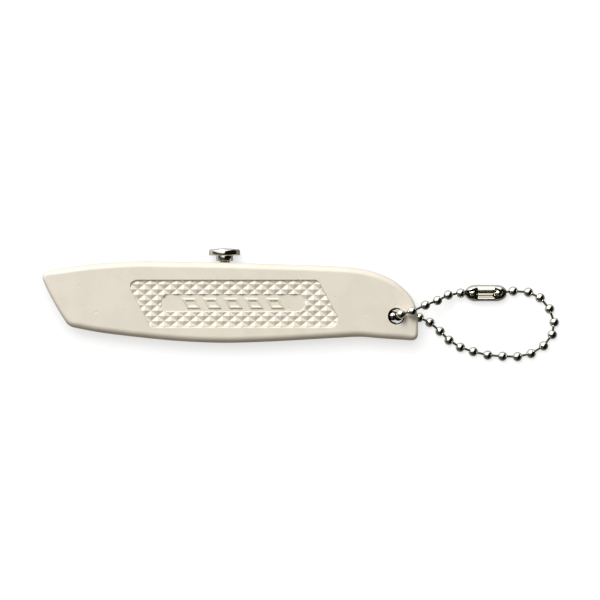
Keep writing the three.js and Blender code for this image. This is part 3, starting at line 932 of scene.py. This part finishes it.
def back_shell():
    shell = half_body("back_shell_casting", -1, False)
    screw_axis = along_z(SCREW["x"], SCREW["y"])
    cut(
        shell,
        [
            channel_cutter(CHANNEL_FLOOR, PARTING + PAST),
            round_cutter(screw_axis, SCREW_ROOM["head"], -PAST, 2.0),
            round_cutter(screw_axis, SCREW_ROOM["shank"], 0, PARTING + PAST),
            relief_cutter(),
        ]
        + shared_cutters(),
    )
    paint_hole_shade(shell)
    smooth(shell)
    flatten_faces(shell)
    add_piece(shell, "knife_body", "body_paint", "back_shell")


front_shell()
back_shell()


# ---------------------------------------------------------------- button, screw and springs


def button():
    """Turned mushroom button: grooved stem, neck, collar and a softly domed head."""
    neck, collar, head, dome = NECK_RADIUS, COLLAR_RADIUS, HEAD_RADIUS, DOME_RADIUS
    low, high = HEAD_ROUNDING["bottom"], HEAD_ROUNDING["top"]
    profile = [(0, 2.2), (0.7, 2.2), (0.9, 2.4), (0.9, 2.6), (0.6, 2.6), (0.6, 3.3), (0.9, 3.3)]
    profile += [(0.9, NECK_BOTTOM), (1.15, NECK_BOTTOM), (neck, 6.05), (neck, 8.75), (1.38, COLLAR_BOTTOM)]
    profile += arc(1.95, 9.07, 0.2, 270, 360, 4)
    profile += [(collar, 10.15), (2.25, HEAD_BOTTOM)]
    profile += arc(head - low, HEAD_BOTTOM + low, low, 270, 360, 5)
    profile += arc(head - high, HEAD_TOP - 0.75, high, 0, 62, 8)
    profile += [(r, HEAD_TOP - dome + math.sqrt(dome * dome - r * r)) for r in (3.2, 2.4, 1.6, 0.8)]
    profile += [(0, HEAD_TOP)]
    made = turned("push_button", profile, along_y(BUTTON_X, PARTING), material=NICKEL)
    smooth(made, 35)
    add_piece(made, "push_button", "nickel", "button")


def screw():
    """Pan-head screw in the back, with a cross recess."""
    profile = [(0, 0.35), (1.2, 0.36), (1.9, 0.45), (2.35, 0.66), (2.6, 1.0), (2.6, 1.75), (2.5, 1.8)]
    profile += [(1.4, 1.8), (1.4, 6.2), (1.0, 6.6), (0, 6.6)]
    x, y, arm, slit = (SCREW[k] for k in ("x", "y", "arm", "slit"))
    made = turned("cross_head_screw", profile, along_z(x, y), material=NICKEL)
    depth = 1.1
    along = block(x - arm, x + arm, y - slit, y + slit, 0, depth)
    across = block(x - slit, x + slit, y - arm, y + arm, 0, depth)
    cut(made, [along, across])
    smooth(made, 35)
    add_piece(made, "knife_body", "nickel", "body_screw")


def lock_leaf():
    """Bowed leaf with a folded tooth, with holes for the slider's rivet and the button's stem, and pressed
    down by the button's neck.
    """
    front, seat, rear = LEAF["front"], LEAF["seat"], LEAF["rear"]
    rest, raised, sheet = LEAF_HEIGHT["seat"], LEAF_HEIGHT["raised"], LEAF_HEIGHT["sheet"]
    tooth, peak = TOOTH["x"], TOOTH["top"]
    bend_end = seat - LEAF_BEND
    bend = []
    for t in np.linspace(0, 1, 9):
        bend.append((bend_end + (seat - bend_end) * t, raised + (rest - raised) * t * t * (3 - 2 * t)))
    under = [(front, raised), (tooth - 0.62, raised), (tooth - 0.16, peak - 0.42)]
    under += [(tooth + 0.16, peak - 0.42), (tooth + 0.62, raised)] + bend[1:] + [(rear, rest)]
    over = [(rear, rest + sheet)] + [(x, y + sheet) for x, y in reversed(bend[1:])]
    over += [(tooth + 0.9, raised + sheet), (tooth + 0.3, peak), (tooth - 0.3, peak)]
    over += [(tooth - 0.9, raised + sheet), (front, raised + sheet)]
    leaf = prism(under + over, LEAF["low"], LEAF["high"])
    leaf.name = "lock_leaf"
    leaf.data.materials.append(SPRING_STEEL)
    holes = ((BUTTON_X, STEM_HOLE), (RIVET_X, RIVET_HOLE))
    cut(leaf, [round_cutter(along_y(x, PARTING), radius, rest - PAST, raised + PAST) for x, radius in holes])
    smooth(leaf, 30)
    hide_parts("lock_spring")
    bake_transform(leaf)


def press_coil():
    """Compression spring between the slider and the end of the button's stem, with closed end turns."""
    wire, turns, closed = COIL["wire"], COIL["turns"], COIL["closed"]
    low, high = (corner[1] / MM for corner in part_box("button_spring"))
    bottom, top = low + wire, high - wire
    steps, sides = 24 * turns, 10
    verts = []
    for i in range(steps + 1):
        turn = turns * i / steps
        rise = min(max((turn - closed) / (turns - 2 * closed), 0), 1)
        angle = 2 * math.pi * turn
        for k in range(sides):
            around = 2 * math.pi * k / sides
            out = COIL["radius"] + wire * math.cos(around)
            y = bottom + (top - bottom) * rise + wire * math.sin(around)
            verts.append((BUTTON_X + out * math.cos(angle), y, PARTING + out * math.sin(angle)))
    faces = [tuple(reversed(range(sides))), tuple(range(steps * sides, (steps + 1) * sides))]
    for i in range(steps):
        for k in range(sides):
            n = (k + 1) % sides
            faces.append((i * sides + k, i * sides + n, (i + 1) * sides + n, (i + 1) * sides + k))
    coil = make_object("press_coil", verts, faces, SPRING_STEEL)
    smooth(coil)
    add_piece(coil, "slider", "spring_steel", "button_spring")
    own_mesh(coil)


button()
screw()
lock_leaf()
press_coil()


# ---------------------------------------------------------------- chain


def bead_profile():
    """A rolled bead with a small turned-in hole at each end."""
    start = math.degrees(math.asin(BEAD_MOUTH / BEAD_RADIUS))
    angles = np.radians(np.linspace(start, 180 - start, 25))
    shell = [(BEAD_RADIUS * math.sin(a), -BEAD_RADIUS * math.cos(a)) for a in angles]
    lip, end = BEAD_MOUTH - 0.06, shell[-1][1]
    return [(0, -end + 0.22), (lip, -end + 0.16)] + shell + [(lip, end - 0.16), (0, end - 0.22)]


def add_turned(mesh, profile, origin, direction, sides, material_index):
    """Adds a solid of revolution to a bmesh, its axis along a direction."""
    turn = direction.to_track_quat("Z", "Y").to_matrix()
    rings = []
    for radius, height in profile:
        count = 1 if radius == 0 else sides
        ring = []
        for i in range(count):
            angle = 2 * math.pi * i / sides
            local = Vector((radius * math.cos(angle), radius * math.sin(angle), height))
            ring.append(mesh.verts.new((origin + turn @ local) * MM))
        rings.append(ring)
    for low, high in zip(rings, rings[1:]):
        for i in range(sides):
            j = (i + 1) % sides
            loop = [low[i % len(low)], low[j % len(low)], high[j % len(high)], high[i % len(high)]]
            mesh.faces.new(dict.fromkeys(loop)).material_index = material_index


def bead_axis(before, here, after):
    """A bead lies along its neighbours' line, or along the incoming link where the chain turns sharply."""
    sharp = math.radians(50)
    incoming, outgoing = here - before, after - here
    if incoming.length and outgoing.length and incoming.angle(outgoing) > sharp:
        return incoming.normalized()
    return (after - before).normalized()


def bead_chain():
    """All beads and the links between them, as one piece."""
    route = [Vector(p) for p in CHAIN_ROUTE]
    mesh = bmesh.new()
    for i, centre in enumerate(route):
        before = route[max(i - 1, 0)]
        after = route[min(i + 1, len(route) - 1)]
        add_turned(mesh, bead_profile(), centre, bead_axis(before, centre, after), 32, 0)
    for a, b in zip(route, route[1:]):
        run = b - a
        start = BEAD_RADIUS - LINK_SUNK
        end = run.length - start
        profile = [(0, start), (LINK_RADIUS, start), (LINK_RADIUS, end), (0, end)]
        add_turned(mesh, profile, a, run.normalized(), 16, 1)
    data = bpy.data.meshes.new("bead_chain")
    mesh.to_mesh(data)
    mesh.free()
    data.materials.append(NICKEL)
    # The links' material is the painted shade between the beads.
    data.materials.append(LINK_SHADE)
    made = bpy.data.objects.new("bead_chain", data)
    bpy.context.scene.collection.objects.link(made)
    smooth(made, 40)
    return made


def sleeve_radius(s, angle):
    """Outer radius of the connector's sheet at a distance from its middle and an angle from +Y.

    The ends are round cups. The middle is pinched: flat lips over the top and a trough pressed up from below.
    """
    stations = [0.0, 2.2, 2.8, 3.4, 4.0, 4.5, 4.85, 5.08, CONNECTOR["half_length"]]
    radii = [2.06, 2.1, 2.1, 2.02, 1.83, 1.55, 1.25, 0.97, 0.72]
    cup = float(np.interp(abs(s), stations, radii))
    angles = [0, 17, 34, 50, 64, 90, 120, 132, 137.5, 141, 148.5, 161, 180, 205, 235, 270, 305, 335, 360]
    pinched = [2.1, 2.09, 2.05, 1.95, 1.78, 1.66, 1.6, 1.72, 2.08, 2.17, 2.2, 2.14]
    pinched += [2.06, 2.05, 1.75, 1.15, 1.75, 2.05, 2.1]
    middle = float(np.interp(angle % 360, angles, pinched))
    blend = min(max((abs(s) - 2.0) / 0.5, 0), 1)
    blend = blend * blend * (3 - 2 * blend)
    return middle + (cup - middle) * blend


def chain_connector():
    """Rolled sheet sleeve: cups with open mouths over the end beads, and a pinched middle."""
    half = CONNECTOR["half_length"]
    sheet = CONNECTOR["sheet"]
    sides = 96
    stations = [half * math.sin(a) for a in np.linspace(-math.pi / 2, math.pi / 2, 121)]
    rings = [(s, s, 0.0) for s in stations]
    rings += [(s * (half - sheet) / half, s, sheet) for s in reversed(stations)]
    verts = []
    for x, s, inset in rings:
        for i in range(sides):
            radius = max(sleeve_radius(s, 360 * i / sides) - inset, 0.4)
            angle = 2 * math.pi * i / sides
            y, z = radius * math.cos(angle), radius * math.sin(angle)
            verts.append((CONNECTOR["x"] + x, CONNECTOR["y"] + y, CONNECTOR["z"] + z))
    faces = []
    for k in range(len(rings)):
        n = (k + 1) % len(rings)
        for i in range(sides):
            j = (i + 1) % sides
            faces.append((k * sides + i, k * sides + j, n * sides + j, n * sides + i))
    sleeve = make_object("sleeve_connector", verts, faces, NICKEL)
    upper = [(5.6, 0.7), (4.1, 0.74), (2.3, 1.45), (2.2, 0.8)]
    lower = [(-2.2, -1.14), (-2.3, -1.36), (-4.3, -1.3), (-4.9, -0.62), (-5.6, -0.45)]
    outline = [*upper, *mirrored(upper), *reversed(lower), *reversed(mirrored(lower))]
    outline = [(CONNECTOR["x"] + x, CONNECTOR["y"] + y) for x, y in outline]
    cut(sleeve, [prism(outline, CONNECTOR["z"] + 0.3, CONNECTOR["z"] + 4)])
    # Faces inside the cups get painted shade, dark for the shadow in the hollows.
    sleeve.data.materials.append(CUP_SHADE)
    for face in sleeve.data.polygons:
        x, y, z = Vector(face.center) / MM - Vector([CONNECTOR[k] for k in "xyz"])
        outer = sleeve_radius(x, math.degrees(math.atan2(z, y)))
        in_cup = abs(x) > 2.4 and math.hypot(y, z) < outer - sheet / 2
        face.material_index = int(in_cup)
    smooth(sleeve, 40)
    return sleeve


def mirrored(outline):
    """The outline in a mirror across X = 0, in the opposite order."""
    return [(-x, y) for x, y in reversed(outline)]


connector = chain_connector()
add_piece(connector, "bead_chain", "nickel", "chain_connector")
chain = bead_chain()
beads = [f"chain_bead_{i:02d}" for i in range(1, len(CHAIN_ROUTE) + 1)]
add_piece(chain, "bead_chain", "nickel", *beads)


# ---------------------------------------------------------------- carried-over nodes

CARRIED = {
    "blade": BLADE_STEEL,
    "blade_carrier": BARE_ZINC,
    "spring_rivet": SPRING_STEEL,
    "retaining_ring": SPRING_STEEL,
}
for node_name, material in CARRIED.items():
    nodes[node_name].data.materials.clear()
    nodes[node_name].data.materials.append(material)


# ---------------------------------------------------------------- floor, light and background


def floor():
    """A white table that the camera sees, a hair under the knife."""
    half = 1500
    low = -0.02
    corners = [(-half, -half, low), (half, -half, low), (half, half, low), (-half, half, low)]
    s = Shader("white_floor", Roughness=0.9, Base_Color=(0.36, 0.36, 0.36, 1))
    s.main.inputs["Specular IOR Level"].default_value = 0.1
    s.main.inputs["Emission Color"].default_value = (1, 1, 1, 1)
    s.main.inputs["Emission Strength"].default_value = 0.61
    s.material.cycles.emission_sampling = "NONE"
    made = make_object("floor", corners, [(0, 1, 2, 3)], s.material)
    made.visible_diffuse = False
    made.visible_glossy = False
    made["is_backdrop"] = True
    return made


def soft_box(name, direction, distance, size, radiance, receivers):
    """A square soft box that looks at the middle of the knife and lights only the receivers."""
    data = bpy.data.lights.new(name, "AREA")
    data.size = size
    data.energy = radiance * math.pi * size**2
    lamp = bpy.data.objects.new(name, data)
    towards = Vector(direction).normalized()
    lamp.location = VIEW_CENTRE + towards * distance
    lamp.rotation_euler = towards.to_track_quat("Z", "Y").to_euler()
    bpy.context.scene.collection.objects.link(lamp)
    group = bpy.data.collections.new(name + "_receivers")
    for piece in receivers:
        group.objects.link(piece)
    lamp.light_linking.receiver_collection = group


def surroundings():
    """A white background, a soft room for the paint, and a studio of its own for the metal to mirror.

    The metal sees a bright window past the button, a dim left side and the pale table, and dark elsewhere.
    """
    world = bpy.data.worlds.new("room")
    bpy.context.scene.world = world
    world.use_nodes = True
    tree = world.node_tree
    tree.nodes.clear()

    def node(kind, **settings):
        made = tree.nodes.new(kind)
        for key, value in settings.items():
            setattr(made, key, value)
        return made

    place = node("ShaderNodeTexCoord").outputs["Generated"]

    def ramp(direction, low, high, out_low, out_high, kind):
        dot = node("ShaderNodeVectorMath", operation="DOT_PRODUCT")
        dot.inputs[1].default_value = Vector(direction).normalized()
        tree.links.new(place, dot.inputs[0])
        made = node("ShaderNodeMapRange", interpolation_type=kind)
        sockets = ("From Min", "From Max", "To Min", "To Max")
        for socket, value in zip(sockets, (low, high, out_low, out_high)):
            made.inputs[socket].default_value = value
        tree.links.new(dot.outputs["Value"], made.inputs["Value"])
        return made.outputs["Result"]

    def background(strength):
        made = node("ShaderNodeBackground")
        if isinstance(strength, float):
            made.inputs["Strength"].default_value = strength
            made.inputs["Color"].default_value = (1, 1, 1, 1)
        else:
            tree.links.new(strength, made.inputs["Strength"])
        return made.outputs["Background"]

    def mix(factor, a, b):
        made = node("ShaderNodeMixShader")
        tree.links.new(factor, made.inputs["Fac"])
        tree.links.new(a, made.inputs[1])
        tree.links.new(b, made.inputs[2])
        return made.outputs["Shader"]

    def combined(operation, a, b):
        made = node("ShaderNodeMath", operation=operation)
        tree.links.new(a, made.inputs[0])
        tree.links.new(b, made.inputs[1])
        return made.outputs["Value"]

    path = node("ShaderNodeLightPath")
    table_bounce = ramp((0, -0.7, -0.7), 0.5, 1, 0.0, 2.2, "SMOOTHSTEP")
    sky = ramp((-0.15, 0.7, 0.7), -0.4, 1, 0.0, 0.74, "LINEAR")
    room = background(combined("ADD", sky, table_bounce))
    warmth = node("ShaderNodeMix", data_type="RGBA")
    tree.links.new(ramp((0, 1, 0.4), -0.6, 0.3, 0.0, 1.0, "SMOOTHSTEP"), warmth.inputs["Factor"])
    warmth.inputs["A"].default_value = (0.8, 0.73, 0.6, 1.0)
    warmth.inputs["B"].default_value = (0.8, 0.8, 0.8, 1.0)
    tree.links.new(warmth.outputs["Result"], room.node.inputs["Color"])
    past_button = ramp((0, 1, 0.16), 0.04, 0.15, 0.0, 1.7, "SMOOTHSTEP")
    left = ramp((-0.83, 0.55, 0), -0.08, 0.04, 0.0, 1.0, "SMOOTHSTEP")
    sill = ramp((0, 0, 1), -0.35, 0.0, 0.0, 1.0, "SMOOTHSTEP")
    window = combined("MULTIPLY", combined("MULTIPLY", past_button, left), sill)
    side = ramp((-1, -0.2, 0.1), 0.0, 0.6, 0.008, 0.09, "SMOOTHSTEP")
    below = ramp((0, 0, -1), 0.0, 0.4, 0.0, 1.0, "SMOOTHSTEP")
    ground = combined("MULTIPLY", below, ramp((-0.5, 0.85, 0), 0.0, 0.6, 0.26, 0.8, "SMOOTHSTEP"))
    metal = background(combined("ADD", window, combined("ADD", side, ground)))
    shown = mix(path.outputs["Is Glossy Ray"], room, metal)
    shown = mix(path.outputs["Is Camera Ray"], shown, background(1.0))
    tree.links.new(shown, node("ShaderNodeOutputWorld").inputs["Surface"])


table = floor()
surroundings()
knife = [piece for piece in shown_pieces() if piece != nodes["blade"]]
soft_box("key", (-0.3, 0.7, 0.64), 1.6, 0.85, 13.8, knife)
soft_box("overhead", (-0.15, 0.28, 0.95), 1.6, 1.1, 7.6, [table])
bpy.context.scene.view_settings.view_transform = "Standard"
